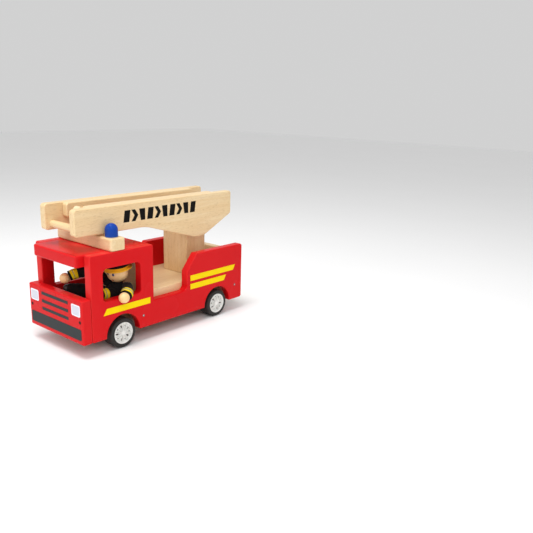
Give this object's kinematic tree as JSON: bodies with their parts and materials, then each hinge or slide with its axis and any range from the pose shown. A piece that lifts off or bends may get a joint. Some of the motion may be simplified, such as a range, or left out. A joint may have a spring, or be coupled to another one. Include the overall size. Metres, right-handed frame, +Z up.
{
  "type": "toy fire engine",
  "caption": "Wooden toy fire engine: open cab with driver, rolling wheels, turning block and lifting boom with a sliding ladder.",
  "frame": {"origin": "middle of the part's bounding box in plan, on the ground under the wheels", "axes": "+X towards the front of the vehicle, +Y to its left, +Z up"},
  "size_m": [0.3674, 0.1742, 0.2363],
  "materials": {
    "red_paint": "glossy red paint on wood",
    "natural_wood": "clear satin varnish",
    "blue_paint": "glossy blue paint",
    "tyre_rubber": "matt",
    "hub_plastic": "satin",
    "steel": "bright",
    "yellow_film": "satin printed film",
    "white_film": "satin printed film",
    "grey_film": "satin printed film",
    "black_cloth": "woven",
    "doll_wood": "satin varnish",
    "helmet_paint": "satin paint"
  },
  "bodies": {
    "chassis": {"side_panel_left": "red_paint", "side_panel_right": "red_paint", "front_panel": "red_paint", "roof_panel": "red_paint", "cab_floor": "natural_wood", "bulkhead": "natural_wood", "deck_board": "natural_wood", "tailboard": "natural_wood", "light_bar": "natural_wood", "blue_lamp": "blue_paint", "front_axle_block": "natural_wood", "rear_axle_block": "natural_wood", "driver_torso": "black_cloth", "driver_left_sleeve": "black_cloth", "driver_right_sleeve": "black_cloth", "driver_left_hand": "doll_wood", "driver_right_hand": "doll_wood", "driver_left_leg": "black_cloth", "driver_right_leg": "black_cloth", "headlight_left": "white_film", "headlight_right": "white_film", "grille_bar_1": "grey_film", "grille_bar_2": "grey_film", "grille_bar_3": "grey_film", "bumper_strip": "grey_film", "stripe_front_left": "yellow_film", "stripe_front_right": "yellow_film", "stripe_rear_upper_left": "yellow_film", "stripe_rear_upper_right": "yellow_film", "stripe_rear_lower_left": "yellow_film", "stripe_rear_lower_right": "yellow_film"},
    "front_wheels": {"front_axle": "steel", "tyre_front_left": "tyre_rubber", "tyre_front_right": "tyre_rubber", "hub_front_left": "hub_plastic", "hub_front_right": "hub_plastic"},
    "rear_wheels": {"rear_axle": "steel", "tyre_rear_left": "tyre_rubber", "tyre_rear_right": "tyre_rubber", "hub_rear_left": "hub_plastic", "hub_rear_right": "hub_plastic"},
    "turret": {"turret_block": "natural_wood", "turret_bolt": "steel"},
    "boom": {"boom_plate_left": "natural_wood", "boom_plate_right": "natural_wood", "boom_front_dowel": "natural_wood", "boom_rear_dowel": "natural_wood", "boom_pivot_dowel": "natural_wood"},
    "ladder": {"ladder_rail_left": "natural_wood", "ladder_rail_right": "natural_wood", "ladder_guide_pin_left": "natural_wood", "ladder_guide_pin_right": "natural_wood", "ladder_rung_1": "natural_wood", "ladder_rung_2": "natural_wood", "ladder_rung_3": "natural_wood", "ladder_rung_4": "natural_wood", "ladder_pull_tab": "natural_wood"},
    "driver_head": {"driver_head": "doll_wood", "driver_helmet": "helmet_paint"}
  },
  "joints": [
    {"name": "front_axle_spin", "type": "hinge", "parent": "chassis", "child": "front_wheels", "pos_m": [0.10583, -0.00972, 0.02544], "axis": [0, 1, 0], "continuous": true},
    {"name": "rear_axle_spin", "type": "hinge", "parent": "chassis", "child": "rear_wheels", "pos_m": [-0.11517, -0.00972, 0.02544], "axis": [0, 1, 0], "continuous": true},
    {"name": "turret_turn", "type": "hinge", "parent": "chassis", "child": "turret", "pos_m": [-0.10068, -0.00972, 0.0815], "axis": [0, 0, 1], "range_deg": [-180, 0]},
    {"name": "boom_lift", "type": "hinge", "parent": "turret", "child": "boom", "pos_m": [-0.10068, -0.00972, 0.181], "axis": [0, -1, 0], "range_deg": [0, 40]},
    {"name": "ladder_extend", "type": "slide", "parent": "boom", "child": "ladder", "axis": [1, 0, 0], "range_m": [0, 0.17]},
    {"name": "driver_head_turn", "type": "hinge", "parent": "chassis", "child": "driver_head", "pos_m": [0.08632, 0.02828, 0.104], "axis": [0, 0, 1], "range_deg": [-40, 40]}
  ]
}
